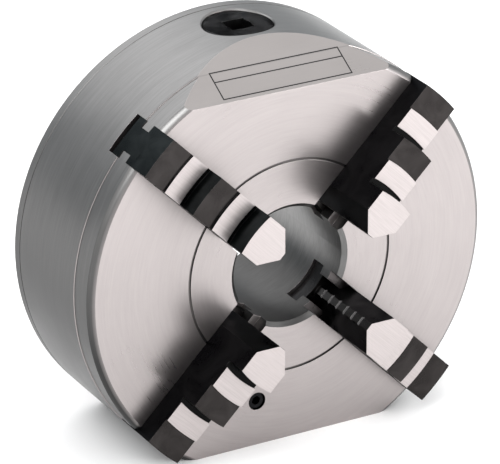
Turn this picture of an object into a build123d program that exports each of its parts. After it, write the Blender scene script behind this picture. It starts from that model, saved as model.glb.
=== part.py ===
from build123d import *
import os
from math import acos, cos, pi, radians, sin, sqrt, tan

# Four-jaw self-centring lathe chuck, nominal diameter 200 mm, geared scroll drive.
# Frame: the origin is on the spindle axis, in the plane of the rear mounting face.
# +Y runs along the axis to the spindle, the gripping face looks along -Y, +Z is up.
# Depths are measured from the gripping face towards the rear, heights the other way.

# ---------------------------------------------------------------- driving dimensions (mm)
BODY_RADIUS = 100.0
BODY_LENGTH = 73.0
FRONT_BAND_RADIUS = 99.6
FRONT_BAND_DEPTH = 14.4
FACE_RADIUS = 96.8
FACE_ROUND_DEPTH = 3.0
FACE_ROUND_FULLNESS = 0.3
COVER_JOINT_DEPTH = 67.3
JOINT_CHAMFER = 0.35
REAR_CHAMFER = 0.8

BORE_RADIUS = 27.5
BORE_CHAMFER = 2.0
FLAT_HEIGHT = 84.5
BEVEL_HEIGHT = 84.0
BEVEL_ANGLE = 30.0
FACE_GROOVE_RADIUS = 50.5
FACE_GROOVE_WIDTH = 1.2
FACE_GROOVE_DEPTH = 0.7

HUB_RADIUS = 34.0
CAVITY_RADIUS = 79.0
CAVITY_DEPTH = 17.9
HUB_END_DEPTH = 69.0
REGISTER_RADIUS = 80.0
REGISTER_DEPTH = 4.0

JAW_ANGLES = (45.0, 135.0, 225.0, 315.0)
JAW_HALF_WIDTH = 10.0
JAW_NECK_HALF_WIDTH = 6.2
JAW_OUTER_RADIUS = 99.9
JAW_GUIDE_END_RADIUS = 29.25
JAW_NOSE_RADIUS = 31.05
JAW_NOSE_LAND = 1.73
NECK_TOP_DEPTH = 7.0
NECK_BOTTOM_DEPTH = 13.7
JAW_BASE_DEPTH = 22.0
JAW_END_CHAMFER = 3.0
GUIDE_CLEARANCE = 0.05
SLOT_FLOOR_DEPTH = 22.3
CLOSING_TRAVEL = 17.0
OPENING_TRAVEL = 9.0

# Jaw steps, from the outside in: height of the oxide step, outer radius of the step,
# height of its ground land, and the land's inner and outer radii.
JAW_STEPS = (
    (10.9, JAW_OUTER_RADIUS, 11.9, 77.5, 87.4),
    (20.8, 75.0, 22.1, 53.3, 63.3),
)
JAW_TOP_HEIGHT = 32.0
JAW_TOP_RADIUS = 50.6
NOTCH_COUNT = 6
NOTCH_PITCH = 6.5
NOTCH_FIRST_DEPTH = 8.0
NOTCH_WIDTH = 1.5
NOTCH_CUT = 0.7

SCROLL_PITCH = 10.0
THREAD_WIDTH = 4.7
THREAD_TOP_DEPTH = 18.2
THREAD_RIM = 0.2
THREAD_INNER_RADIUS = 44.6
SCROLL_OUTER_RADIUS = 78.5
SCROLL_BORE_RADIUS = 34.06
SCROLL_FRONT_DEPTH = 23.0
SCROLL_BACK_DEPTH = 34.6
SCROLL_EDGE_DEPTH = 30.8
JAW_TOOTH_ROOT_DEPTH = 17.8
JAW_TOOTH_THICKNESS = 4.2
JAW_TOOTH_OUTER_CURVE = 40.0
JAW_TOOTH_INNER_CURVE = 80.0
PAD_INNER_GAP = 0.9
PAD_OUTER_GAP = 0.5
JAW_PAD_INNER_END = THREAD_INNER_RADIUS - OPENING_TRAVEL - PAD_INNER_GAP
JAW_PAD_OUTER_START = SCROLL_OUTER_RADIUS + CLOSING_TRAVEL + PAD_OUTER_GAP
TOOTH_TO_PAD_SHARE = 0.6
SCROLL_PHASE_RADIUS = 31.6

PINION_DEPTH = 47.0
PINION_TEETH = 12
GEAR_TEETH = 72
GEAR_INNER_RADIUS = 62.0
GEAR_OUTER_RADIUS = 76.0
PRESSURE_ANGLE = 25.0
ADDENDUM = 0.9
DEDENDUM = 1.15
TOOTH_SHARE = 0.46
GEAR_ROOT_OVERLAP = 0.5
PINION_ROOT_OVERLAP = 0.2
PINION_CHAMFER = 0.5
PINION_JOURNAL_CHAMFER = 0.6
PINION_GEAR_SHOULDER = 1.0
PINION_NECK_STEP = 0.3
PINION_HEAD_RADIUS = 16.0
PINION_BORE_RADIUS = 16.05
PINION_MOUTH_CHAMFER = 0.7
PINION_TOP = 98.7
PINION_SHOULDER = 79.2
PINION_NECK_RADIUS = 10.0
PINION_JOURNAL_RADIUS = 6.0
PINION_JOURNAL_END = 44.5
RETAINING_GROOVE_HEIGHT = 88.0
RETAINING_GROOVE_WIDTH = 6.0
RETAINING_GROOVE_RADIUS = 12.3
KEY_SQUARE = 11.0
KEY_DEPTH = 18.0
KEY_DRILL_RADIUS = 5.9

BUSH_RADIUS = 8.0
BUSH_BORE_RADIUS = 6.05
BUSH_LENGTH = 15.0
BUSH_SINK = 0.3
BUSH_BORE_CLEARANCE_DEPTH = 1.0
COLLAR_RADIUS = 59.5
COLLAR_FRONT_DEPTH = 34.7
COVER_BORE_RADIUS = 34.05
COVER_SPIGOT_RADIUS = 78.95
COVER_SPIGOT_DEPTH = 62.8

BOLT_CIRCLE_RADIUS = 88.0
MOUNT_HOLE_RADIUS = 5.0
MOUNT_HOLE_LENGTH = 28.0
COVER_SCREW_COUNT = 6
COVER_SCREW_RADIUS = 3.0
COVER_SCREW_LENGTH = 18.0
COVER_SCREW_HEAD_RADIUS = 5.8
SCREW_CLEARANCE = 0.05
HEX_KEY_SIZE = 4.0
COVER_SCREW_SINK = 0.3
COVER_SCREW_SOCKET_DEPTH = 2.6
DOWEL_CIRCLE_RADIUS = 91.0
DOWEL_ANGLES = (30.0, 210.0)
DOWEL_RADIUS = 3.0
DOWEL_LENGTH = 20.0
DOWEL_SINK = 0.5
DOWEL_CHAMFER = 0.5
LOCK_SCREW_RADIUS = 4.0
LOCK_SCREW_DOG_RADIUS = 2.6
LOCK_SCREW_END_DEPTH = 66.8
LOCK_ACCESS_RADIUS = 3.2
LOCK_SCREW_TIP_GAP = 0.05
LOCK_SCREW_DOG_GAP = 0.3
LOCK_SCREW_SOCKET_DEPTH = 3.0
PLUG_CIRCLE_RADIUS = 65.1
PLUG_ANGLE = 255.0
PLUG_RADIUS = 4.2
PLUG_HOLE_DEPTH = 11.0
PLUG_RECESS = 0.9
PLUG_PASSAGE_RADIUS = 2.0
PLUG_END_GAP = 0.5
PLUG_CHAMFER = 0.6
PLUG_SOCKET_DEPTH = 4.5
PLUG_SOCKET_TURN = 15.0

OVERSHOOT = 5.0


# ---------------------------------------------------------------- helpers
def along(depth):
    """Y of a point at a depth behind the gripping face."""
    return depth - BODY_LENGTH


def face_plane(depth):
    """Plane across the axis at a depth, X to the right, Z up, normal to the front."""
    return Plane.XZ.offset(BODY_LENGTH - depth)


def jaw_plane(angle, height):
    """Plane across the axis with its X running out along a jaw, at a height above the face."""
    outward = (cos(radians(angle)), 0, sin(radians(angle)))
    return Plane(origin=(0, -BODY_LENGTH - height, 0), x_dir=outward, z_dir=(0, -1, 0))


def polar(radius, angle):
    """X and Z of a point on a circle about the axis."""
    return (radius * cos(radians(angle)), radius * sin(radians(angle)))


def sagitta(radius, half_chord):
    return radius - sqrt(radius**2 - half_chord**2)


def hex_radius(across_flats):
    return across_flats / sqrt(3)


def finish(part, name):
    """Label a finished piece and write it to its own file."""
    part.label = name
    export_step(part, f"parts/{name}.step")


os.makedirs("parts", exist_ok=True)

# ---------------------------------------------------------------- chuck body
# One steel body: front wall with four jaw ways, hub around the through bore, outer rim.
BAND_STEP = BODY_RADIUS - FRONT_BAND_RADIUS
face_round_inset = FACE_ROUND_FULLNESS * (FRONT_BAND_RADIUS - FACE_RADIUS)

with BuildPart() as chuck_body:
    with BuildSketch(Plane.XY):
        with BuildLine():
            Polyline(
                (FACE_RADIUS, along(0)),
                (BORE_RADIUS + BORE_CHAMFER, along(0)),
                (BORE_RADIUS, along(BORE_CHAMFER)),
                (BORE_RADIUS, along(HUB_END_DEPTH)),
                (HUB_RADIUS, along(HUB_END_DEPTH)),
                (HUB_RADIUS, along(CAVITY_DEPTH)),
                (CAVITY_RADIUS, along(CAVITY_DEPTH)),
                (CAVITY_RADIUS, along(COVER_JOINT_DEPTH)),
                (BODY_RADIUS - JOINT_CHAMFER, along(COVER_JOINT_DEPTH)),
                (BODY_RADIUS, along(COVER_JOINT_DEPTH - JOINT_CHAMFER)),
                (BODY_RADIUS, along(FRONT_BAND_DEPTH + BAND_STEP / 2)),
                (FRONT_BAND_RADIUS, along(FRONT_BAND_DEPTH)),
                (FRONT_BAND_RADIUS, along(FACE_ROUND_DEPTH)),
            )
            ThreePointArc(
                (FRONT_BAND_RADIUS, along(FACE_ROUND_DEPTH)),
                (FRONT_BAND_RADIUS - face_round_inset, along(FACE_ROUND_DEPTH / 2)),
                (FACE_RADIUS, along(0)),
            )
        make_face()
    revolve(axis=Axis.Y)

    # Jaw ways: an open slot at the face, a narrower neck between two rails, a wide guide.
    way_middle = (BORE_RADIUS + BODY_RADIUS) / 2
    way_length = BODY_RADIUS - BORE_RADIUS + 4 * OVERSHOOT
    ways = (
        (-OVERSHOOT, NECK_TOP_DEPTH + GUIDE_CLEARANCE, JAW_HALF_WIDTH),
        (NECK_TOP_DEPTH, NECK_BOTTOM_DEPTH, JAW_NECK_HALF_WIDTH),
        (NECK_BOTTOM_DEPTH - GUIDE_CLEARANCE, SLOT_FLOOR_DEPTH, JAW_HALF_WIDTH),
    )
    for jaw_angle in JAW_ANGLES:
        for start, end, half_width in ways:
            with BuildSketch(jaw_plane(jaw_angle, -start)):
                with Locations((way_middle, 0)):
                    Rectangle(way_length, 2 * (half_width + GUIDE_CLEARANCE))
            extrude(amount=start - end, mode=Mode.SUBTRACT)

    # Flat along the underside, on which the chuck stands on a bench.
    with BuildSketch(face_plane(-OVERSHOOT)):
        with Locations((0, -FLAT_HEIGHT)):
            Rectangle(2 * BODY_RADIUS, BODY_RADIUS, align=(Align.CENTER, Align.MAX))
    extrude(amount=-BODY_LENGTH - 2 * OVERSHOOT, mode=Mode.SUBTRACT)

    # Inclined flat over the front top edge, for the marking.
    bevel_run = (BODY_RADIUS + OVERSHOOT - BEVEL_HEIGHT) / tan(radians(BEVEL_ANGLE))
    bevel_back = OVERSHOOT * tan(radians(BEVEL_ANGLE))
    with BuildSketch(Plane.YZ):
        with BuildLine():
            Polyline(
                (along(-OVERSHOOT), BEVEL_HEIGHT - bevel_back),
                (along(bevel_run), BODY_RADIUS + OVERSHOOT),
                (along(-OVERSHOOT), BODY_RADIUS + OVERSHOOT),
                close=True,
            )
        make_face()
    extrude(amount=BODY_RADIUS, both=True, mode=Mode.SUBTRACT)

    # Turned witness groove on the gripping face.
    with BuildSketch(face_plane(0)):
        Circle(FACE_GROOVE_RADIUS + FACE_GROOVE_WIDTH / 2)
        Circle(FACE_GROOVE_RADIUS - FACE_GROOVE_WIDTH / 2, mode=Mode.SUBTRACT)
    extrude(amount=-FACE_GROOVE_DEPTH, mode=Mode.SUBTRACT)

    # Radial bore of the drive pinion, through the rim at the top.
    with BuildSketch(Plane.XY.offset(CAVITY_RADIUS - OVERSHOOT)):
        with Locations((0, along(PINION_DEPTH))):
            Circle(PINION_BORE_RADIUS)
    extrude(amount=BODY_RADIUS, mode=Mode.SUBTRACT)
    pinion_mouth = chuck_body.edges().filter_by(GeomType.BSPLINE).sort_by(Axis.Z)[-1]
    chamfer(pinion_mouth, length=PINION_MOUTH_CHAMFER)

    # Tapped holes for the spindle bolts, behind the jaws.
    with BuildSketch(face_plane(COVER_JOINT_DEPTH)):
        with PolarLocations(BOLT_CIRCLE_RADIUS, len(JAW_ANGLES), start_angle=JAW_ANGLES[0]):
            Circle(MOUNT_HOLE_RADIUS)
    extrude(amount=MOUNT_HOLE_LENGTH - BODY_LENGTH + COVER_JOINT_DEPTH, mode=Mode.SUBTRACT)

    # Tapped holes for the cover screws.
    with BuildSketch(face_plane(COVER_JOINT_DEPTH)):
        with PolarLocations(BOLT_CIRCLE_RADIUS, COVER_SCREW_COUNT):
            Circle(COVER_SCREW_RADIUS + SCREW_CLEARANCE)
    extrude(amount=COVER_SCREW_LENGTH, mode=Mode.SUBTRACT)

    # Reamed holes for the dowels.
    with BuildSketch(face_plane(COVER_JOINT_DEPTH)):
        with Locations(*[polar(DOWEL_CIRCLE_RADIUS, angle) for angle in DOWEL_ANGLES]):
            Circle(DOWEL_RADIUS + SCREW_CLEARANCE)
    extrude(amount=DOWEL_LENGTH - DOWEL_RADIUS, mode=Mode.SUBTRACT)

    # Tapped hole of the lock screw, breaking into the pinion bore.
    with BuildSketch(face_plane(COVER_JOINT_DEPTH)):
        with Locations((0, RETAINING_GROOVE_HEIGHT)):
            Circle(LOCK_SCREW_RADIUS + SCREW_CLEARANCE)
    extrude(amount=COVER_JOINT_DEPTH - PINION_DEPTH, mode=Mode.SUBTRACT)

    # Grease port through the front wall, closed by the plug.
    with BuildSketch(face_plane(0)):
        with Locations(polar(PLUG_CIRCLE_RADIUS, PLUG_ANGLE)):
            Circle(PLUG_RADIUS + SCREW_CLEARANCE)
    extrude(amount=-PLUG_HOLE_DEPTH, mode=Mode.SUBTRACT)
    with BuildSketch(face_plane(0)):
        with Locations(polar(PLUG_CIRCLE_RADIUS, PLUG_ANGLE)):
            Circle(PLUG_PASSAGE_RADIUS)
    extrude(amount=-CAVITY_DEPTH, mode=Mode.SUBTRACT)

finish(chuck_body.part, "chuck_body")

# ---------------------------------------------------------------- rear cover
# Full-diameter plate that closes the gear chamber; its collar carries the pinion's bush.
with BuildPart() as rear_cover:
    with BuildSketch(Plane.XY):
        with BuildLine():
            Polyline(
                (COVER_BORE_RADIUS, along(COLLAR_FRONT_DEPTH)),
                (COLLAR_RADIUS, along(COLLAR_FRONT_DEPTH)),
                (COLLAR_RADIUS, along(COVER_SPIGOT_DEPTH)),
                (COVER_SPIGOT_RADIUS, along(COVER_SPIGOT_DEPTH)),
                (COVER_SPIGOT_RADIUS, along(COVER_JOINT_DEPTH)),
                (BODY_RADIUS - JOINT_CHAMFER, along(COVER_JOINT_DEPTH)),
                (BODY_RADIUS, along(COVER_JOINT_DEPTH + JOINT_CHAMFER)),
                (BODY_RADIUS, along(BODY_LENGTH - REAR_CHAMFER)),
                (BODY_RADIUS - REAR_CHAMFER, along(BODY_LENGTH)),
                (REGISTER_RADIUS, along(BODY_LENGTH)),
                (REGISTER_RADIUS, along(BODY_LENGTH - REGISTER_DEPTH)),
                (COVER_BORE_RADIUS, along(BODY_LENGTH - REGISTER_DEPTH)),
                close=True,
            )
        make_face()
    revolve(axis=Axis.Y)

    # The flat of the underside runs on over the cover.
    with BuildSketch(face_plane(0)):
        with Locations((0, -FLAT_HEIGHT)):
            Rectangle(2 * BODY_RADIUS, BODY_RADIUS, align=(Align.CENTER, Align.MAX))
    extrude(amount=-BODY_LENGTH - OVERSHOOT, mode=Mode.SUBTRACT)

    # Blind bore for the pinion's bush, radial, at the top of the collar.
    with BuildSketch(Plane.XY.offset(PINION_JOURNAL_END - BUSH_BORE_CLEARANCE_DEPTH)):
        with Locations((0, along(PINION_DEPTH))):
            Circle(BUSH_RADIUS + SCREW_CLEARANCE)
    extrude(amount=COLLAR_RADIUS - PINION_JOURNAL_END + OVERSHOOT, mode=Mode.SUBTRACT)

    # Spindle bolts pass through the flange.
    with BuildSketch(face_plane(BODY_LENGTH)):
        with PolarLocations(BOLT_CIRCLE_RADIUS, len(JAW_ANGLES), start_angle=JAW_ANGLES[0]):
            Circle(MOUNT_HOLE_RADIUS)
    extrude(amount=BODY_LENGTH - COVER_JOINT_DEPTH, mode=Mode.SUBTRACT)

    # Countersunk holes for the cover screws.
    with BuildSketch(face_plane(BODY_LENGTH)):
        with PolarLocations(BOLT_CIRCLE_RADIUS, COVER_SCREW_COUNT):
            Circle(COVER_SCREW_RADIUS + SCREW_CLEARANCE)
    extrude(amount=BODY_LENGTH - COVER_JOINT_DEPTH, mode=Mode.SUBTRACT)
    countersink = COVER_SCREW_HEAD_RADIUS - COVER_SCREW_RADIUS
    with BuildSketch(face_plane(BODY_LENGTH)):
        with PolarLocations(BOLT_CIRCLE_RADIUS, COVER_SCREW_COUNT):
            Circle(COVER_SCREW_HEAD_RADIUS + SCREW_CLEARANCE)
    extrude(amount=countersink, taper=45, mode=Mode.SUBTRACT)

    # Dowel holes and the access hole over the lock screw.
    with BuildSketch(face_plane(BODY_LENGTH)):
        with Locations(*[polar(DOWEL_CIRCLE_RADIUS, angle) for angle in DOWEL_ANGLES]):
            Circle(DOWEL_RADIUS + SCREW_CLEARANCE)
        with Locations((0, RETAINING_GROOVE_HEIGHT)):
            Circle(LOCK_ACCESS_RADIUS)
    extrude(amount=BODY_LENGTH - COVER_JOINT_DEPTH, mode=Mode.SUBTRACT)

finish(rear_cover.part, "rear_cover")

# ---------------------------------------------------------------- cover screws
# Countersunk hexagon-socket screws, head flush with the rear face.
for index in range(COVER_SCREW_COUNT):
    centre_x, centre_z = polar(BOLT_CIRCLE_RADIUS, 360 / COVER_SCREW_COUNT * index)
    top_depth = BODY_LENGTH - COVER_SCREW_SINK
    head_radius = COVER_SCREW_HEAD_RADIUS - COVER_SCREW_SINK
    with BuildPart() as cover_screw:
        with BuildSketch(face_plane(top_depth)):
            with Locations((centre_x, centre_z)):
                Circle(head_radius)
        extrude(amount=head_radius - COVER_SCREW_RADIUS, taper=45)
        with BuildSketch(face_plane(top_depth)):
            with Locations((centre_x, centre_z)):
                Circle(COVER_SCREW_RADIUS)
        extrude(amount=COVER_SCREW_LENGTH)
        with BuildSketch(face_plane(top_depth)):
            with Locations((centre_x, centre_z)):
                RegularPolygon(hex_radius(HEX_KEY_SIZE), 6)
        extrude(amount=COVER_SCREW_SOCKET_DEPTH, mode=Mode.SUBTRACT)
    finish(cover_screw.part, f"cover_screw_{index + 1}")

# ---------------------------------------------------------------- dowel pins
for index, angle in enumerate(DOWEL_ANGLES):
    centre_x, centre_z = polar(DOWEL_CIRCLE_RADIUS, angle)
    with BuildPart() as dowel_pin:
        with BuildSketch(face_plane(BODY_LENGTH - DOWEL_SINK)):
            with Locations((centre_x, centre_z)):
                Circle(DOWEL_RADIUS)
        extrude(amount=DOWEL_LENGTH)
        chamfer(dowel_pin.edges().filter_by(GeomType.CIRCLE), length=DOWEL_CHAMFER)
    finish(dowel_pin.part, f"dowel_pin_{index + 1}")

# ---------------------------------------------------------------- grease plug
plug_x, plug_z = polar(PLUG_CIRCLE_RADIUS, PLUG_ANGLE)
with BuildPart() as grease_plug:
    with BuildSketch(face_plane(PLUG_RECESS)):
        with Locations((plug_x, plug_z)):
            Circle(PLUG_RADIUS)
    extrude(amount=PLUG_RECESS + PLUG_END_GAP - PLUG_HOLE_DEPTH)
    chamfer(grease_plug.edges().filter_by(GeomType.CIRCLE), length=PLUG_CHAMFER)
    with BuildSketch(face_plane(PLUG_RECESS)):
        with Locations((plug_x, plug_z)):
            RegularPolygon(hex_radius(HEX_KEY_SIZE), 6, rotation=PLUG_SOCKET_TURN)
    extrude(amount=-PLUG_SOCKET_DEPTH, mode=Mode.SUBTRACT)
finish(grease_plug.part, "grease_plug")

# ---------------------------------------------------------------- pinion lock screw
# Set screw whose dog point runs in the pinion's groove and keeps the pinion in its bore.
dog_start = PINION_DEPTH + PINION_BORE_RADIUS + LOCK_SCREW_TIP_GAP
with BuildPart() as pinion_lock_screw:
    with BuildSketch(face_plane(LOCK_SCREW_END_DEPTH)):
        with Locations((0, RETAINING_GROOVE_HEIGHT)):
            Circle(LOCK_SCREW_RADIUS)
    extrude(amount=LOCK_SCREW_END_DEPTH - dog_start)
    with BuildSketch(face_plane(dog_start)):
        with Locations((0, RETAINING_GROOVE_HEIGHT)):
            Circle(LOCK_SCREW_DOG_RADIUS)
    extrude(amount=PINION_BORE_RADIUS - RETAINING_GROOVE_RADIUS - LOCK_SCREW_DOG_GAP)
    with BuildSketch(face_plane(LOCK_SCREW_END_DEPTH)):
        with Locations((0, RETAINING_GROOVE_HEIGHT)):
            RegularPolygon(hex_radius(HEX_KEY_SIZE), 6)
    extrude(amount=LOCK_SCREW_SOCKET_DEPTH, mode=Mode.SUBTRACT)
finish(pinion_lock_screw.part, "pinion_lock_screw")

# ---------------------------------------------------------------- pinion bush
with BuildPart() as pinion_bush:
    with BuildSketch(Plane.XY.offset(COLLAR_RADIUS - BUSH_SINK)):
        with Locations((0, along(PINION_DEPTH))):
            Circle(BUSH_RADIUS)
            Circle(BUSH_BORE_RADIUS, mode=Mode.SUBTRACT)
    extrude(amount=-BUSH_LENGTH)
finish(pinion_bush.part, "pinion_bush")

# ---------------------------------------------------------------- scroll ring
# The front carries an Archimedean spiral thread, the back a ring of bevel gear teeth.
# The radius of the groove's centre line grows by one pitch for each turn of the angle.
RATIO = GEAR_TEETH / PINION_TEETH
THREAD_TURNS = (SCROLL_OUTER_RADIUS - THREAD_RIM - THREAD_WIDTH - THREAD_INNER_RADIUS) / SCROLL_PITCH
ARCS_PER_TURN = 8


def groove_radius(angle):
    """Centre radius of the innermost groove where it crosses a jaw at an angle."""
    return SCROLL_PHASE_RADIUS + SCROLL_PITCH * (angle - JAW_ANGLES[-1]) / 360


def spiral_points(offset, count):
    """Points of a spiral that starts at the thread's inner radius, shifted outwards."""
    first_angle = (THREAD_INNER_RADIUS + THREAD_WIDTH / 2 - groove_radius(0)) / SCROLL_PITCH * 360 + 180
    points = []
    for step in range(count + 1):
        turn = THREAD_TURNS * step / count
        radius = THREAD_INNER_RADIUS + SCROLL_PITCH * turn + offset
        points.append(polar(radius, first_angle + 360 * turn))
    return points


# One tooth of the bevel gear: its four long faces all run to the point where the axes meet.
# The slopes below are lengths across the tooth for each millimetre of radius. The tooth is
# drawn pointing along +Y with the gear's axis along Z, and laid on the ring's own plane later.
MODULE_SLOPE = 2 / GEAR_TEETH
tip_slope = 1 / RATIO - ADDENDUM * MODULE_SLOPE
root_slope = 1 / RATIO + DEDENDUM * MODULE_SLOPE
foot_slope = root_slope + GEAR_ROOT_OVERLAP / GEAR_OUTER_RADIUS
half_slope = TOOTH_SHARE * pi * MODULE_SLOPE / 2
flank_lean = tan(radians(PRESSURE_ANGLE))

with BuildPart() as gear_tooth:
    with BuildSketch(Plane(origin=(0, 0, 0), x_dir=(0, 0, -1), z_dir=(1, 0, 0))):
        with BuildLine():
            Polyline(
                (along(PINION_DEPTH - tip_slope * GEAR_INNER_RADIUS), GEAR_INNER_RADIUS),
                (along(PINION_DEPTH - tip_slope * GEAR_OUTER_RADIUS), GEAR_OUTER_RADIUS),
                (along(PINION_DEPTH - foot_slope * GEAR_OUTER_RADIUS), GEAR_OUTER_RADIUS),
                (along(PINION_DEPTH - foot_slope * GEAR_INNER_RADIUS), GEAR_INNER_RADIUS),
                close=True,
            )
        make_face()
    extrude(amount=OVERSHOOT, both=True)
    for side in (-1, 1):
        flank_normal = (side, flank_lean / RATIO - half_slope, -flank_lean)
        flank = Plane(origin=(0, 0, -along(PINION_DEPTH)), z_dir=flank_normal)
        split(bisect_by=flank, keep=Keep.BOTTOM)

with BuildPart(Plane.XZ) as scroll_ring:
    with BuildSketch(Plane.XY):
        with BuildLine():
            Polyline(
                (SCROLL_BORE_RADIUS, along(SCROLL_FRONT_DEPTH)),
                (SCROLL_OUTER_RADIUS, along(SCROLL_FRONT_DEPTH)),
                (SCROLL_OUTER_RADIUS, along(SCROLL_EDGE_DEPTH)),
                (GEAR_OUTER_RADIUS, along(PINION_DEPTH - root_slope * GEAR_OUTER_RADIUS)),
                ((PINION_DEPTH - SCROLL_BACK_DEPTH) / root_slope, along(SCROLL_BACK_DEPTH)),
                (SCROLL_BORE_RADIUS, along(SCROLL_BACK_DEPTH)),
                close=True,
            )
        make_face()
    revolve(axis=Axis.Y)
    with BuildSketch(face_plane(SCROLL_FRONT_DEPTH)):
        with BuildLine():
            arcs = round(ARCS_PER_TURN * THREAD_TURNS)
            inner = spiral_points(0, 2 * arcs)
            outer = spiral_points(THREAD_WIDTH, 2 * arcs)
            for side in (inner, outer):
                for first, middle, last in zip(side[::2], side[1::2], side[2::2]):
                    ThreePointArc(first, middle, last)
            Line(inner[0], outer[0])
            Line(inner[-1], outer[-1])
        make_face()
    extrude(amount=SCROLL_FRONT_DEPTH - THREAD_TOP_DEPTH)
    with PolarLocations(0, GEAR_TEETH):
        add(gear_tooth.part)
finish(scroll_ring.part, "scroll_ring")

# ---------------------------------------------------------------- drive pinion
# Involute teeth that taper to the point where the pinion axis meets the chuck axis.
FLANK_POINTS = 5


def involute_angle(radius, base):
    """Polar angle swept by an involute from its base circle to a radius."""
    pressure = acos(min(1.0, base / radius))
    return tan(pressure) - pressure


with BuildPart() as pinion_tooth:
    for height in (GEAR_INNER_RADIUS, GEAR_OUTER_RADIUS):
        module = MODULE_SLOPE * height
        pitch = height / RATIO
        base = pitch * cos(radians(PRESSURE_ANGLE))
        tip = pitch + ADDENDUM * module
        root = pitch - (DEDENDUM + PINION_ROOT_OVERLAP) * module
        half_angle = TOOTH_SHARE * pi / PINION_TEETH + involute_angle(pitch, base)
        flank = []
        for step in range(FLANK_POINTS):
            radius = base + (tip - base) * step / (FLANK_POINTS - 1)
            flank.append((radius, half_angle - involute_angle(radius, base)))
        with BuildSketch(Plane.XY.offset(height)):
            with BuildLine():
                left = Spline(*[(r * cos(a), r * sin(a)) for r, a in flank])
                right = Spline(*[(r * cos(a), -r * sin(a)) for r, a in flank])
                foot = (root * cos(half_angle), root * sin(half_angle))
                Line(left @ 1, right @ 1)
                Polyline(left @ 0, foot, (foot[0], -foot[1]), right @ 0)
            make_face()
    loft(ruled=True)

with BuildPart(Plane(origin=(0, along(PINION_DEPTH), 0))) as drive_pinion:
    root_rise = 1 / RATIO - DEDENDUM * MODULE_SLOPE
    groove_low = RETAINING_GROOVE_HEIGHT - RETAINING_GROOVE_WIDTH / 2
    groove_high = RETAINING_GROOVE_HEIGHT + RETAINING_GROOVE_WIDTH / 2
    with BuildSketch(Plane(origin=(0, along(PINION_DEPTH), 0), x_dir=(1, 0, 0), z_dir=(0, -1, 0))):
        with BuildLine():
            Polyline(
                (0, PINION_JOURNAL_END),
                (PINION_JOURNAL_RADIUS - PINION_JOURNAL_CHAMFER, PINION_JOURNAL_END),
                (PINION_JOURNAL_RADIUS, PINION_JOURNAL_END + PINION_JOURNAL_CHAMFER),
                (PINION_JOURNAL_RADIUS, GEAR_INNER_RADIUS - PINION_GEAR_SHOULDER),
                (root_rise * GEAR_INNER_RADIUS, GEAR_INNER_RADIUS - PINION_GEAR_SHOULDER),
                (root_rise * GEAR_OUTER_RADIUS, GEAR_OUTER_RADIUS),
                (PINION_NECK_RADIUS, GEAR_OUTER_RADIUS + PINION_NECK_STEP),
                (PINION_NECK_RADIUS, PINION_SHOULDER),
                (PINION_HEAD_RADIUS, PINION_SHOULDER),
                (PINION_HEAD_RADIUS, groove_low),
                (RETAINING_GROOVE_RADIUS, groove_low),
                (RETAINING_GROOVE_RADIUS, groove_high),
                (PINION_HEAD_RADIUS, groove_high),
                (PINION_HEAD_RADIUS, PINION_TOP - PINION_CHAMFER),
                (PINION_HEAD_RADIUS - PINION_CHAMFER, PINION_TOP),
                (0, PINION_TOP),
                close=True,
            )
        make_face()
    revolve(axis=Axis(origin=(0, along(PINION_DEPTH), 0), direction=(0, 0, 1)))

    # A gap between two teeth faces the gear at rest.
    with PolarLocations(0, PINION_TEETH, start_angle=-90 + 180 / PINION_TEETH):
        add(pinion_tooth.part)

    # Square socket for the chuck key, broached through a drilled hole.
    with BuildSketch(Plane.XY.offset(PINION_TOP)):
        with Locations((0, along(PINION_DEPTH))):
            Rectangle(KEY_SQUARE, KEY_SQUARE)
            Circle(KEY_DRILL_RADIUS)
    extrude(amount=-KEY_DEPTH, mode=Mode.SUBTRACT)
finish(drive_pinion.part, "drive_pinion")

# ---------------------------------------------------------------- jaws
# Four one-piece hardened jaws, alike but for the offset of their teeth along the spiral.


def rim_end(radius, half_width):
    """Distance along the jaw at which a circle about the axis crosses the jaw's side."""
    return sqrt(radius**2 - half_width**2)


def nosed_outline(half_width, outer_radius):
    """Plan of the jaw above its guide: a right-angled nose with a narrow land, a round end."""
    shoulder = JAW_NOSE_RADIUS + half_width - JAW_NOSE_LAND
    end = rim_end(outer_radius, half_width)
    with BuildSketch() as outline:
        with BuildLine():
            Polyline(
                (end, half_width),
                (shoulder, half_width),
                (JAW_NOSE_RADIUS, JAW_NOSE_LAND),
                (JAW_NOSE_RADIUS, -JAW_NOSE_LAND),
                (shoulder, -half_width),
                (end, -half_width),
            )
            ThreePointArc((end, -half_width), (outer_radius, 0), (end, half_width))
        make_face()
    return outline.sketch


def band_outline(half_width, inner_radius, outer_radius):
    """Plan of a band across the jaw between two circles about the axis."""
    inner_end = rim_end(inner_radius, half_width)
    outer_end = rim_end(outer_radius, half_width)
    with BuildSketch() as outline:
        with BuildLine():
            ThreePointArc((inner_end, half_width), (inner_radius, 0), (inner_end, -half_width))
            ThreePointArc((outer_end, half_width), (outer_radius, 0), (outer_end, -half_width))
            Line((inner_end, half_width), (outer_end, half_width))
            Line((inner_end, -half_width), (outer_end, -half_width))
        make_face()
    return outline.sketch


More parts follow.
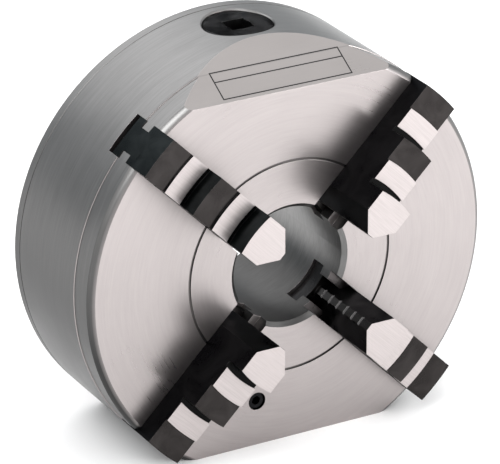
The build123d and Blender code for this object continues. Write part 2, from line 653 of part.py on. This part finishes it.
def tooth_outline(centre):
    """Plan of one jaw tooth: a crescent that clears the spiral at every radius it meets."""
    back = centre - JAW_TOOTH_THICKNESS / 2
    crown = centre + JAW_TOOTH_THICKNESS / 2
    back_end = back - sagitta(JAW_TOOTH_INNER_CURVE, JAW_HALF_WIDTH)
    crown_end = crown - sagitta(JAW_TOOTH_OUTER_CURVE, JAW_HALF_WIDTH)
    with BuildSketch() as outline:
        with BuildLine():
            ThreePointArc((back_end, JAW_HALF_WIDTH), (back, 0), (back_end, -JAW_HALF_WIDTH))
            ThreePointArc((crown_end, JAW_HALF_WIDTH), (crown, 0), (crown_end, -JAW_HALF_WIDTH))
            Line((back_end, JAW_HALF_WIDTH), (crown_end, JAW_HALF_WIDTH))
            Line((back_end, -JAW_HALF_WIDTH), (crown_end, -JAW_HALF_WIDTH))
        make_face()
    return outline.sketch


def tooth_centres(angle):
    """Distances along a jaw of its teeth, one in each groove that it can reach."""
    lowest = JAW_PAD_INNER_END + JAW_TOOTH_THICKNESS
    highest = JAW_PAD_OUTER_START - TOOTH_TO_PAD_SHARE * JAW_TOOTH_THICKNESS
    centre = groove_radius(angle)
    centres = []
    while centre <= highest:
        if centre >= lowest:
            centres.append(centre)
        centre += SCROLL_PITCH
    return centres


# Each layer of the jaw: lower height, upper height, plan.
guide_plan = band_outline(JAW_HALF_WIDTH, JAW_GUIDE_END_RADIUS, JAW_OUTER_RADIUS)
inner_pad = band_outline(JAW_HALF_WIDTH, JAW_GUIDE_END_RADIUS, JAW_PAD_INNER_END)
outer_pad = band_outline(JAW_HALF_WIDTH, JAW_PAD_OUTER_START, JAW_OUTER_RADIUS)
layers = [
    (-JAW_BASE_DEPTH, -JAW_TOOTH_ROOT_DEPTH, inner_pad),
    (-JAW_BASE_DEPTH, -JAW_TOOTH_ROOT_DEPTH, outer_pad),
    (-JAW_TOOTH_ROOT_DEPTH, -NECK_BOTTOM_DEPTH, guide_plan),
    (-NECK_BOTTOM_DEPTH, -NECK_TOP_DEPTH, nosed_outline(JAW_NECK_HALF_WIDTH, JAW_OUTER_RADIUS)),
]
step_base = -NECK_TOP_DEPTH
for step_height, step_radius, land_height, land_inner, land_outer in JAW_STEPS:
    layers.append((step_base, step_height, nosed_outline(JAW_HALF_WIDTH, step_radius)))
    layers.append((step_height, land_height, band_outline(JAW_HALF_WIDTH, land_inner, land_outer)))
    step_base = step_height
layers.append((step_base, JAW_TOP_HEIGHT, nosed_outline(JAW_HALF_WIDTH, JAW_TOP_RADIUS)))

for index, angle in enumerate(JAW_ANGLES):
    outward = (cos(radians(angle)), 0, sin(radians(angle)))
    sideways = (-sin(radians(angle)), 0, cos(radians(angle)))
    with BuildPart() as jaw:
        for low, high, plan in layers:
            with BuildSketch(jaw_plane(angle, low)):
                add(plan)
            extrude(amount=high - low)
        for centre in tooth_centres(angle):
            with BuildSketch(jaw_plane(angle, -JAW_BASE_DEPTH)):
                add(tooth_outline(centre))
            extrude(amount=JAW_BASE_DEPTH - JAW_TOOTH_ROOT_DEPTH)

        # Bevel under the outer end, and the cross notches of the gripping nose.
        with BuildSketch(Plane(origin=(0, 0, 0), x_dir=outward, z_dir=sideways)):
            with BuildLine():
                Polyline(
                    (JAW_OUTER_RADIUS - JAW_END_CHAMFER, along(JAW_BASE_DEPTH)),
                    (JAW_OUTER_RADIUS + OVERSHOOT, along(JAW_BASE_DEPTH)),
                    (JAW_OUTER_RADIUS + OVERSHOOT, along(JAW_BASE_DEPTH - JAW_END_CHAMFER - OVERSHOOT)),
                    close=True,
                )
            make_face()
            for notch in range(NOTCH_COUNT):
                notch_y = along(NOTCH_FIRST_DEPTH - notch * NOTCH_PITCH)
                with BuildLine():
                    Polyline(
                        (JAW_NOSE_RADIUS, notch_y - NOTCH_WIDTH / 2),
                        (JAW_NOSE_RADIUS + NOTCH_CUT, notch_y),
                        (JAW_NOSE_RADIUS, notch_y + NOTCH_WIDTH / 2),
                        (JAW_NOSE_RADIUS - NOTCH_CUT, notch_y),
                        close=True,
                    )
                make_face()
        extrude(amount=2 * JAW_HALF_WIDTH, both=True, mode=Mode.SUBTRACT)
    finish(jaw.part, f"jaw_{index + 1}")
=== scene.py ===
import math

import bpy
from mathutils import Euler, Matrix, Vector


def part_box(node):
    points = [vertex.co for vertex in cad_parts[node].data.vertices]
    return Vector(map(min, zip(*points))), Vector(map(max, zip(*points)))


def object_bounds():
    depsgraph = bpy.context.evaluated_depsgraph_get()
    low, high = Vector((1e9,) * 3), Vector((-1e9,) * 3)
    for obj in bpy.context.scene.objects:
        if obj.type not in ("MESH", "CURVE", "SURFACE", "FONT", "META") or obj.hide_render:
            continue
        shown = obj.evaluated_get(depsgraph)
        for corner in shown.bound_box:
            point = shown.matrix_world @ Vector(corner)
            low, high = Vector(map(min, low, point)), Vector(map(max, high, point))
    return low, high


# Looks, light and camera for the four-jaw scroll chuck. Lengths are in metres, in the part's frame:
# +Y to the spindle, the gripping face looks along -Y, +Z up through the drive pinion.
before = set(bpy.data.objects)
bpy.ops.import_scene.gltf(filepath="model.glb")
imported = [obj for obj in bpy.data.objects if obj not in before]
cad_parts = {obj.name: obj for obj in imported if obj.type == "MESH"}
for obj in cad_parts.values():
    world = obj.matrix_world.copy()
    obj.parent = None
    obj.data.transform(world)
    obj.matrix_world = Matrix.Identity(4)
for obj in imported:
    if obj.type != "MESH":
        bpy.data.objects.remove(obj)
cad_low, cad_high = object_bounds()

MM = 0.001
REST_HEIGHT = cad_low[2]

# The view: a long lens, a little to the left of the chuck's axis and above it.
CAMERA_PLACE = (-774.0 * MM, -1424.4 * MM, 714.6 * MM)
CAMERA_AZIMUTH = -29.15
CAMERA_ELEVATION = 24.15
CAMERA_ROLL = -0.115
CAMERA_LENS = 278.8
SENSOR_WIDTH = 36.0
FARTHEST_SEEN = 50.0

# Area lights: name, place, what it looks at, width and height, power in watts.
AIM = (0.0, -0.04, 0.0)
LIGHTS = (
    ("apron", (0.6, -0.7, 0.5), (0.3, -0.2, REST_HEIGHT), (0.7, 0.5), 5.0),
    ("key", (-0.9, -0.9, 1.5), AIM, (1.2, 1.2), 22.0),
    ("fill", (1.1, -1.3, 0.2), AIM, (1.0, 1.0), 8.5),
)
SKY_STRENGTH = 0.9
FLOOR_HALF_WIDTH = 6.0

# Heights of the jaws' ground lands, as Y in the part's frame. Each tread beside a land is painted black, as
# shade and a reflection of the riser above it, between that riser and the land's inner radius.
TOP_LAND_Y = -105.0 * MM
GROUND_LANDS_Y = (-95.1 * MM, -84.9 * MM)
TREADS = ((-93.8 * MM, 53.4 * MM), (-83.9 * MM, 77.6 * MM))
LAND_TOLERANCE = 0.25 * MM
NOSE_RADIUS = 31.05 * MM
NOSE_TOLERANCE = 0.12 * MM
NOSE_LAND = 1.9 * MM
JAW_ANGLE = 45.0

# The fine lines round the drum that carry painted shade: behind the front band, and at the rear cover's
# joint.
SEAMS = (-58.5 * MM, -5.7 * MM)
SEAM_REACH = 0.3 * MM
SEAM_RADIUS = 60.0 * MM
# The turned groove on the gripping face, darkened with painted shade.
GROOVE_Y = -72.5 * MM
GROOVE_SINK = 0.45 * MM
GROOVE_RADIUS = 50.5 * MM
GROOVE_REACH = 0.7 * MM

# The inclined flat and the underside, found by their normals.
FLAT_SLOPE = math.radians(30)
FLAT_SLOPE_TOLERANCE = 0.06
FLAT_SIDE_TOLERANCE = 0.05
UNDERSIDE_TOLERANCE = 0.002
# An empty etched frame on the inclined flat, measured across it and up its slope.
MARK_HALF_WIDTH = 32.0 * MM
MARK_HALF_HEIGHT = 7.5 * MM
MARK_MIDDLE_Z = 88.8 * MM
MARK_LINE = 0.3 * MM
MARK_DIVIDER = 0.3 * MARK_HALF_HEIGHT

# Relief that only the shader adds, and how far edges are rounded.
TURNED_RELIEF = 0.0001 * MM
OXIDE_RELIEF = 0.0025 * MM
CUT_RELIEF = 0.008 * MM
TURNED_EDGE = 0.2 * MM
OXIDE_EDGE = 0.18 * MM
CUT_EDGE = 0.25 * MM
TURNED_ANISOTROPY = 0.4
SMALLEST_RADIUS = 0.1 * MM
BORE_CLEARANCE = 1.0 * MM

# Shares of the noises in the tone of turned steel, and in the relief.
GRAIN_SHARE = 0.45
HOOPS_SHARE = 0.25
STAINS_SHARE = 0.30
HOOPS_RELIEF_SHARE = 0.5
SPECKLE_RELIEF_SHARE = 0.6
LINES_RELIEF_SHARE = 0.5

# How strongly a tone covers what lies under it.
SEAM_SHADE_COVER = 0.65
MILLED_COVER = 0.7
# The turned steel's rounded edges take a painted highlight.
TURNED_EDGE_HIGHLIGHT = 0.12
CUT_EDGE_COVER = 0.6

PAPER_ROUGHNESS = 0.9
PAPER_SPECULAR = 0.1


def rgb(red, green, blue):
    return (red, green, blue, 1.0)


# Tones. A pair is mixed by a noise, from its first colour to its second.
# Black, mixed in as painted shade on the drum and in the bore.
BLACK = rgb(0.0, 0.0, 0.0)
HOOP_TONES = (rgb(0.195, 0.193, 0.191), rgb(0.265, 0.262, 0.260))
BORE_TONES = (rgb(0.190, 0.188, 0.186), rgb(0.270, 0.267, 0.264))
MILLED = rgb(0.45, 0.425, 0.415)
ETCHED = rgb(0.035, 0.035, 0.036)
# Painted shade in the face's groove and the drum's seams.
SEAM_SHADE_TONE = rgb(0.030, 0.029, 0.028)
OXIDE_TONES = (rgb(0.010, 0.010, 0.011), rgb(0.017, 0.017, 0.018))
PINION_TONES = (rgb(0.027, 0.0273, 0.028), rgb(0.045, 0.0453, 0.046))
# Painted light on the jaws' black: lighter treads facing forward, lighter cooler outer ends, paler faces
# looking in.
TREAD_TONES = (rgb(0.027, 0.0243, 0.0238), rgb(0.042, 0.038, 0.0372))
END_TONES = (rgb(0.021, 0.024, 0.025), rgb(0.030, 0.034, 0.035))
THROAT_TONES = (rgb(0.032, 0.032, 0.033), rgb(0.046, 0.046, 0.047))
# Painted shade and reflection of the riser on a jaw's tread.
TREAD_SHADOW_TONE = rgb(0.008, 0.008, 0.008)
RUBBED = rgb(0.13, 0.125, 0.12)
LAND_TONES = (rgb(0.415, 0.377, 0.372), rgb(0.475, 0.433, 0.428))
NOSE_TONES = (rgb(0.05, 0.05, 0.05), rgb(0.09, 0.087, 0.085))
OXIDE_SPECULAR = rgb(0.3, 0.3, 0.3)
PAPER_TONES = (rgb(0.94, 0.94, 0.94), rgb(0.96, 0.96, 0.96))
SKY_FRONT = rgb(1.0, 1.0, 1.0)
SKY_REAR_LOW = rgb(0.50, 0.53, 0.55)
SKY_REAR_HIGH = rgb(2.6, 2.6, 2.62)


# ---------------------------------------------------------------- node graphs
class Graph:
    """Builds a node tree from nested calls; each call returns an output socket."""

    def __init__(self, tree):
        self.nodes = tree.nodes
        self.links = tree.links

    def feed(self, socket, value):
        if isinstance(value, bpy.types.NodeSocket):
            self.links.new(value, socket)
        else:
            socket.default_value = value

    def add(self, kind, settings=None, **inputs):
        """Add a node; keyword inputs are sockets or constants, named with _ for spaces."""
        node = self.nodes.new(kind)
        for key, value in (settings or {}).items():
            setattr(node, key, value)
        for key, value in inputs.items():
            self.feed(node.inputs[key.replace("_", " ")], value)
        return node.outputs[0]

    def in_order(self, kind, setting, choice, *values):
        """Add a node with one setting, its sockets fed in their order, and return the node."""
        node = self.nodes.new(kind)
        setattr(node, setting, choice)
        for socket, value in zip(node.inputs, values):
            self.feed(socket, value)
        return node

    def math(self, operation, *values):
        return self.in_order("ShaderNodeMath", "operation", operation, *values).outputs[0]

    def product(self, a, b):
        return self.math("MULTIPLY", a, b)

    def total(self, a, b):
        return self.math("ADD", a, b)

    def less(self, a, b):
        return self.math("SUBTRACT", a, b)

    def either(self, a, b):
        """The larger of two masks."""
        return self.math("MAXIMUM", a, b)

    def near(self, value, centre, reach):
        """1 where a value is within reach of a centre, else 0."""
        return self.math("COMPARE", value, centre, reach)

    def radius(self, a, b):
        """Distance from an axis, from the two coordinates across it."""
        return self.math("SQRT", self.total(self.product(a, a), self.product(b, b)))

    def dot(self, a, b):
        node = self.in_order("ShaderNodeVectorMath", "operation", "DOT_PRODUCT", a, b)
        return node.outputs["Value"]

    def step(self, value, low, high, out_low=0.0, out_high=1.0):
        """Smooth ramp of a value, from out_low at low to out_high at high."""
        ramp = (value, low, high, out_low, out_high)
        return self.in_order("ShaderNodeMapRange", "interpolation_type", "SMOOTHSTEP", *ramp).outputs[0]

    def mix_sockets(self, data_type, first_input, output, factor, a, b):
        """Add a Mix node; it keeps a pair of inputs and an output for each type of value."""
        node = self.nodes.new("ShaderNodeMix")
        node.data_type = data_type
        self.feed(node.inputs[0], factor)
        self.feed(node.inputs[first_input], a)
        self.feed(node.inputs[first_input + 1], b)
        return node.outputs[output]

    def mix(self, factor, a, b):
        """Mix two colours."""
        return self.mix_sockets("RGBA", 6, 2, factor, a, b)

    def mix_value(self, factor, a, b):
        """Mix two numbers."""
        return self.mix_sockets("FLOAT", 2, 0, factor, a, b)


def new_material(name):
    material = bpy.data.materials.new(name)
    material.use_nodes = True
    graph = Graph(material.node_tree)
    return material, graph, graph.nodes["Principled BSDF"]


def place(g):
    """The surface's place in the part's frame, as a vector and as X, Y, Z, and its normal's parts."""
    coordinates = g.nodes.new("ShaderNodeTexCoord")
    point = g.nodes.new("ShaderNodeSeparateXYZ")
    normal = g.nodes.new("ShaderNodeSeparateXYZ")
    g.links.new(coordinates.outputs["Object"], point.inputs[0])
    g.links.new(coordinates.outputs["Normal"], normal.inputs[0])
    return coordinates.outputs["Object"], tuple(point.outputs), tuple(normal.outputs)


def outward(g, point, normal):
    """Radius times how squarely the surface looks out from the chuck's axis; negative in a bore."""
    return g.total(g.product(point[0], normal[0]), g.product(point[2], normal[2]))


def turned_grain(g, point, centre_y=None, fineness=1500.0, sweep=5.0):
    """Fine lines that run around an axis: concentric on faces, hooped on cylinders.

    The axis is the chuck's own, or the pinion's radial one if centre_y is given."""
    x, y, z = point
    if centre_y is None:
        first, second, along = x, z, y
    else:
        first, second, along = x, g.less(y, centre_y), z
    radius = g.math("MAXIMUM", g.radius(first, second), SMALLEST_RADIUS)
    vector = g.add(
        "ShaderNodeCombineXYZ",
        X=g.product(radius, fineness),
        Y=g.product(along, fineness),
        Z=g.product(g.math("DIVIDE", first, radius), sweep),
    )
    turn = g.product(g.math("DIVIDE", second, radius), sweep)
    return g.add("ShaderNodeTexNoise", settings={"noise_dimensions": "4D"}, Vector=vector, W=turn, Scale=1.0,
                 Detail=4.0, Roughness=0.65)


def ground_grain(g, point, angle=0.0, fineness=2200.0, length=45.0):
    """Fine straight lines left by a grinding wheel, along a direction in the X-Z plane."""
    x, y, z = point
    cosine, sine = math.cos(math.radians(angle)), math.sin(math.radians(angle))
    run = g.total(g.product(x, cosine), g.product(z, sine))
    side = g.less(g.product(z, cosine), g.product(x, sine))
    vector = g.add(
        "ShaderNodeCombineXYZ",
        X=g.product(run, length),
        Y=g.product(side, fineness),
        Z=g.product(y, fineness),
    )
    return g.add("ShaderNodeTexNoise", Vector=vector, Scale=1.0, Detail=4.0, Roughness=0.6)


def clouds(g, vector, scale, detail=3.0, distortion=0.0):
    return g.add("ShaderNodeTexNoise", Vector=vector, Scale=scale, Detail=detail, Roughness=0.55,
                 Distortion=distortion)


def soft_edges(g, radius):
    """Normal of an edge rounded by a radius, and a mask of the rounded strip."""
    rounded = g.add("ShaderNodeBevel", settings={"samples": 4}, Radius=radius)
    geometry = g.nodes.new("ShaderNodeNewGeometry")
    flatness = g.dot(rounded, geometry.outputs["True Normal"])
    return rounded, g.step(flatness, low=0.985, high=0.86)


def finish_metal(g, shader, colour, roughness, height, normal, relief):
    """Feed a metal's colour and roughness, and the relief over its rounded edges."""
    g.feed(shader.inputs["Base Color"], colour)
    g.feed(shader.inputs["Roughness"], roughness)
    bump = g.add("ShaderNodeBump", Strength=1.0, Distance=relief, Height=height, Normal=normal)
    g.feed(shader.inputs["Normal"], bump)
    shader.inputs["Metallic"].default_value = 1.0


# ---------------------------------------------------------------- turned steel
def etched_frame(g, point):
    """Mask of the lines of the empty frame: an oblong with one line across it."""
    across = g.less(g.math("ABSOLUTE", point[0]), MARK_HALF_WIDTH)
    up = g.product(g.less(point[2], MARK_MIDDLE_Z), 1 / math.sin(FLAT_SLOPE))
    over = g.less(g.math("ABSOLUTE", up), MARK_HALF_HEIGHT)
    reach = g.math("MAXIMUM", across, over)
    outline = g.near(reach, 0.0, MARK_LINE)
    divider = g.product(g.near(up, MARK_DIVIDER, MARK_LINE), g.math("LESS_THAN", reach, 0.0))
    return g.either(outline, divider)


def groove_and_seam_shade(g, point, looks_out):
    """Mask of the painted shade in the groove on the face and the seams round the drum."""
    sunk = g.near(point[1], GROOVE_Y, GROOVE_SINK)
    shaded_lines = g.product(g.near(g.radius(point[0], point[2]), GROOVE_RADIUS, GROOVE_REACH), sunk)
    on_rim = g.math("GREATER_THAN", looks_out, SEAM_RADIUS)
    for seam_y in SEAMS:
        shaded_lines = g.either(shaded_lines, g.product(g.near(point[1], seam_y, SEAM_REACH), on_rim))
    return shaded_lines


def turned_steel(name, light, dark, roughness):
    """Turned steel: bright on the faces, duller grey round them, with hoop lines, faint stains, painted
    shade and highlights.
    """
    material, g, shader = new_material(name)
    vector, point, normal = place(g)
    hoops = turned_grain(g, point)
    coarse_hoops = turned_grain(g, point, fineness=330.0, sweep=2.5)
    straight = ground_grain(g, point)
    # The inclined flat and the underside are milled straight, everything else is turned.
    flat = g.product(g.near(normal[1], -math.sin(FLAT_SLOPE), FLAT_SLOPE_TOLERANCE),
                     g.near(normal[0], 0.0, FLAT_SIDE_TOLERANCE))
    underside = g.near(normal[2], -1.0, UNDERSIDE_TOLERANCE)
    milled = g.either(flat, underside)
    grain = g.mix_value(milled, hoops, straight)
    stains = clouds(g, vector, scale=22.0, detail=5.0, distortion=0.4)
    rounded, edge = soft_edges(g, TURNED_EDGE)
    shade = g.total(g.product(grain, GRAIN_SHARE), g.product(coarse_hoops, HOOPS_SHARE))
    shade = g.total(shade, g.product(stains, STAINS_SHARE))
    amount = g.step(shade, low=0.34, high=0.66)
    faces = g.step(g.math("ABSOLUTE", normal[1]), low=0.74, high=0.98)
    bright = g.either(faces, milled)
    # Painted shade: hoop faces are darker where they look down, and the bore is darkest where it looks up.
    looks_out = outward(g, point, normal)
    hoop = g.mix(g.step(normal[2], low=-0.3, high=0.85, out_low=0.82, out_high=0.0),
                 g.mix(amount, *HOOP_TONES), BLACK)
    bore = g.mix(g.step(normal[2], low=-0.1, high=0.9, out_low=0.0, out_high=0.72),
                 g.mix(amount, *BORE_TONES), BLACK)
    hoop = g.mix(g.math("LESS_THAN", looks_out, -BORE_CLEARANCE), hoop, bore)
    tone = g.mix(bright, hoop, g.mix(amount, dark, light))
    # Painted shade darkens the groove and the seams.
    tone = g.mix(g.product(groove_and_seam_shade(g, point, looks_out), SEAM_SHADE_COVER), tone, SEAM_SHADE_TONE)
    tone = g.mix(g.product(flat, MILLED_COVER), tone, MILLED)
    tone = g.mix(g.product(flat, etched_frame(g, point)), tone, ETCHED)
    # Painted highlight: rounded edges are lightened toward the light tone.
    colour = g.mix(g.product(edge, TURNED_EDGE_HIGHLIGHT), tone, light)
    rough = g.total(g.step(grain, low=0.3, high=0.7, out_low=-0.01, out_high=0.01),
                    g.step(stains, low=0.35, high=0.65, out_low=-0.02, out_high=0.02))
    rough = g.total(rough, g.step(bright, low=0.0, high=1.0, out_low=0.04, out_high=0.0))
    height = g.total(grain, g.product(coarse_hoops, HOOPS_RELIEF_SHARE))
    height = g.product(height, g.step(milled, low=0.0, high=1.0, out_low=1.0, out_high=0.3))
    finish_metal(g, shader, colour, g.total(rough, roughness), height, rounded, TURNED_RELIEF)
    shader.inputs["Anisotropic"].default_value = TURNED_ANISOTROPY
    tangent = g.add("ShaderNodeTangent", settings={"direction_type": "RADIAL", "axis": "Y"})
    g.feed(shader.inputs["Tangent"], tangent)
    return material


# ---------------------------------------------------------------- black oxide
def jaw_black(g, amount, sides, point, normal):
    """Blacks of a jaw with painted light: lighter, cooler ends; paler faces that look in; lighter, browner
    treads.
    """
    radius = g.radius(point[0], point[2])
    looks_out = g.math("DIVIDE", outward(g, point, normal), radius)
    # Painted light: the jaws' outer ends are lighter and cooler.
    sides = g.mix(g.step(looks_out, low=0.75, high=0.9), sides, g.mix(amount, *END_TONES))
    # Painted light: faces that look in toward the axis are paler, against their occlusion.
    sides = g.mix(g.step(looks_out, low=-0.3, high=-0.6), sides, g.mix(amount, *THROAT_TONES))
    # Painted light: the treads, facing forward, are lighter and browner than the sides.
    treads = g.mix(amount, *TREAD_TONES)
    # Painted shade and reflection of the riser: black on each tread inside its land.
    for tread_y, land_start in TREADS:
        level = g.near(point[1], tread_y, LAND_TOLERANCE)
        riser_shadow = g.product(level, g.math("LESS_THAN", radius, land_start))
        treads = g.mix(riser_shadow, treads, TREAD_SHADOW_TONE)
    return g.mix(g.step(normal[1], low=-0.5, high=-0.95), sides, treads)


def ground_masks(g, point, normal):
    """Masks of a jaw's ground lands and of the strip down its nose."""
    land = g.near(point[1], TOP_LAND_Y, LAND_TOLERANCE)
    for land_y in GROUND_LANDS_Y:
        land = g.either(land, g.near(point[1], land_y, LAND_TOLERANCE))
    land = g.product(land, g.step(normal[1], low=-0.92, high=-0.97))
    # Distance out along the jaw and across it, alike for all four jaws at 45 degrees.
    slant = math.sqrt(0.5)
    x, z = g.math("ABSOLUTE", point[0]), g.math("ABSOLUTE", point[2])
    out = g.product(g.total(x, z), slant)
    side = g.product(g.less(x, z), slant)
    nose = g.product(g.near(out, NOSE_RADIUS, NOSE_TOLERANCE), g.near(side, 0.0, NOSE_LAND))
    return land, nose


def black_oxide(name, ground_lands=False, centre_y=None):
    """Hardened steel, blackened; a jaw's lands and nose are ground bright after blackening."""
    material, g, shader = new_material(name)
    vector, point, normal = place(g)
    mottle = clouds(g, vector, scale=75.0, detail=6.0, distortion=0.8)
    speckle = clouds(g, vector, scale=900.0, detail=2.0)
    rounded, edge = soft_edges(g, OXIDE_EDGE)
    amount = g.step(mottle, low=0.35, high=0.68)
    if centre_y is None:
        black = g.mix(amount, *OXIDE_TONES)
        lines = ground_grain(g, point, angle=JAW_ANGLE, fineness=1500.0, length=120.0)
    else:
        black = g.mix(amount, *PINION_TONES)
        lines = turned_grain(g, point, centre_y=centre_y)
    # A jaw's blacks carry painted light and shade.
    if ground_lands:
        black = jaw_black(g, amount, black, point, normal)
    rubbed = g.product(edge, g.step(mottle, low=0.42, high=0.62, out_low=0.10, out_high=0.55))
    colour = g.mix(rubbed, black, RUBBED)
    rough = g.total(g.step(mottle, low=0.3, high=0.7, out_low=0.27, out_high=0.40),
                    g.step(speckle, low=0.3, high=0.7, out_low=-0.03, out_high=0.03))
    height = g.total(g.product(speckle, SPECKLE_RELIEF_SHARE), g.product(lines, LINES_RELIEF_SHARE))
    if ground_lands:
        land, nose = ground_masks(g, point, normal)
        grinding = ground_grain(g, point, angle=-JAW_ANGLE, fineness=2400.0, length=60.0)
        worn = g.step(grinding, low=0.32, high=0.68)
        colour = g.mix(land, colour, g.mix(worn, *LAND_TONES))
        colour = g.mix(nose, colour, g.mix(worn, *NOSE_TONES))
        metal = g.either(land, nose)
        ground_rough = g.step(grinding, low=0.3, high=0.7, out_low=0.31, out_high=0.37)
        rough = g.mix_value(metal, rough, ground_rough)
        height = g.product(height, g.step(metal, low=0.0, high=1.0, out_low=1.0, out_high=0.15))
    finish_metal(g, shader, colour, rough, height, rounded, OXIDE_RELIEF)
    shader.inputs["Specular Tint"].default_value = OXIDE_SPECULAR
    return material


# ---------------------------------------------------------------- inner parts
def cut_steel(name, light, dark, roughness):
    """Oiled or ground inner steel and bronze: cloudy tone with fine tool lines."""
    material, g, shader = new_material(name)
    vector, point, _ = place(g)
    film = clouds(g, vector, scale=45.0, detail=5.0, distortion=0.6)
    lines = turned_grain(g, point, fineness=900.0)
    rounded, edge = soft_edges(g, CUT_EDGE)
    tone = g.mix(g.step(film, low=0.32, high=0.68), dark, light)
    colour = g.mix(g.product(edge, CUT_EDGE_COVER), tone, light)
    rough = g.total(g.step(film, low=0.3, high=0.7, out_low=-0.06, out_high=0.08), roughness)
    finish_metal(g, shader, colour, rough, lines, rounded, CUT_RELIEF)
    return material


PINION_CENTRE_Y = sum(corner[1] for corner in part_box("drive_pinion")) / 2

# One finish for each node or family of nodes; screws take the fasteners' finish.
finishes = {
    "chuck_body": turned_steel(
        "body_turned_steel", light=rgb(0.390, 0.356, 0.352), dark=rgb(0.350, 0.320, 0.316), roughness=0.30),
    "rear_cover": turned_steel(
        "cover_turned_steel", light=rgb(0.42, 0.39, 0.385), dark=rgb(0.36, 0.334, 0.33), roughness=0.34),
    "scroll_ring": cut_steel(
        "scroll_oiled_steel", light=rgb(0.50, 0.48, 0.46), dark=rgb(0.33, 0.315, 0.30), roughness=0.30),
    "pinion_bush": cut_steel(
        "bush_bronze", light=rgb(0.62, 0.43, 0.21), dark=rgb(0.46, 0.30, 0.13), roughness=0.38),
    "dowel_pin": cut_steel(
        "dowel_ground_steel", light=rgb(0.70, 0.69, 0.68), dark=rgb(0.56, 0.55, 0.54), roughness=0.22),
    "drive_pinion": black_oxide("pinion_black_oxide", centre_y=PINION_CENTRE_Y),
    "jaw": black_oxide("jaw_black_oxide", ground_lands=True),
    "fastener": black_oxide("fastener_black_oxide"),
    "grease_plug": black_oxide("plug_black_oxide"),
}


def finish_of(node):
    """The finish of a CAD node, by its name or the family it belongs to."""
    if node in finishes:
        return finishes[node]
    family = node.rstrip("0123456789").rstrip("_")
    return finishes.get(family, finishes["fastener"])


for node_name, node_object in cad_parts.items():
    node_object.data.materials.clear()
    node_object.data.materials.append(finish_of(node_name))


# ---------------------------------------------------------------- stage
def pale_floor():
    """A wide pale floor at the height of the chuck's underside."""
    half = FLOOR_HALF_WIDTH
    mesh = bpy.data.meshes.new("floor")
    corners = [(-half, -half, REST_HEIGHT), (half, -half, REST_HEIGHT), (half, half, REST_HEIGHT),
               (-half, half, REST_HEIGHT)]
    mesh.from_pydata(corners, [], [(0, 1, 2, 3)])
    floor = bpy.data.objects.new("floor", mesh)
    bpy.context.scene.collection.objects.link(floor)
    material, g, shader = new_material("floor_paper")
    vector, _, _ = place(g)
    fibre = clouds(g, vector, scale=6.0)
    g.feed(shader.inputs["Base Color"], g.mix(fibre, *PAPER_TONES))
    shader.inputs["Roughness"].default_value = PAPER_ROUGHNESS
    shader.inputs["Specular IOR Level"].default_value = PAPER_SPECULAR
    mesh.materials.append(material)


def soft_light(name, location, target, size, power):
    """A rectangular area light that looks at a point."""
    data = bpy.data.lights.new(name, "AREA")
    data.shape = "RECTANGLE"
    data.size, data.size_y = size
    data.energy = power
    light = bpy.data.objects.new(name, data)
    light.location = location
    direction = Vector(target) - Vector(location)
    light.rotation_euler = direction.to_track_quat("-Z", "Y").to_euler()
    bpy.context.scene.collection.objects.link(light)


def studio_sky():
    """Pale surroundings, grey near the horizon behind the chuck and bright again above."""
    world = bpy.data.worlds.new("studio")
    world.use_nodes = True
    bpy.context.scene.world = world
    g = Graph(world.node_tree)
    background = g.nodes["Background"]
    direction = g.nodes.new("ShaderNodeSeparateXYZ")
    g.links.new(g.add("ShaderNodeTexCoord"), direction.inputs[0])
    behind = g.step(direction.outputs["Y"], low=0.0, high=0.6)
    above = g.step(direction.outputs["Z"], low=0.30, high=0.66)
    rear = g.mix(above, SKY_REAR_LOW, SKY_REAR_HIGH)
    g.feed(background.inputs["Color"], g.mix(behind, SKY_FRONT, rear))
    background.inputs["Strength"].default_value = SKY_STRENGTH


def long_lens_camera():
    data = bpy.data.cameras.new("camera")
    data.lens = CAMERA_LENS
    data.sensor_width = SENSOR_WIDTH
    data.sensor_fit = "HORIZONTAL"
    data.clip_end = FARTHEST_SEEN
    camera = bpy.data.objects.new("camera", data)
    turn = Euler((math.radians(90 - CAMERA_ELEVATION), 0, math.radians(CAMERA_AZIMUTH))).to_matrix()
    roll = Matrix.Rotation(math.radians(CAMERA_ROLL), 3, "Z")
    camera.location = CAMERA_PLACE
    camera.rotation_euler = (turn @ roll).to_euler()
    bpy.context.scene.collection.objects.link(camera)
    bpy.context.scene.camera = camera


pale_floor()
studio_sky()
for light_settings in LIGHTS:
    soft_light(*light_settings)
long_lens_camera()
bpy.context.scene.view_settings.view_transform = "Standard"
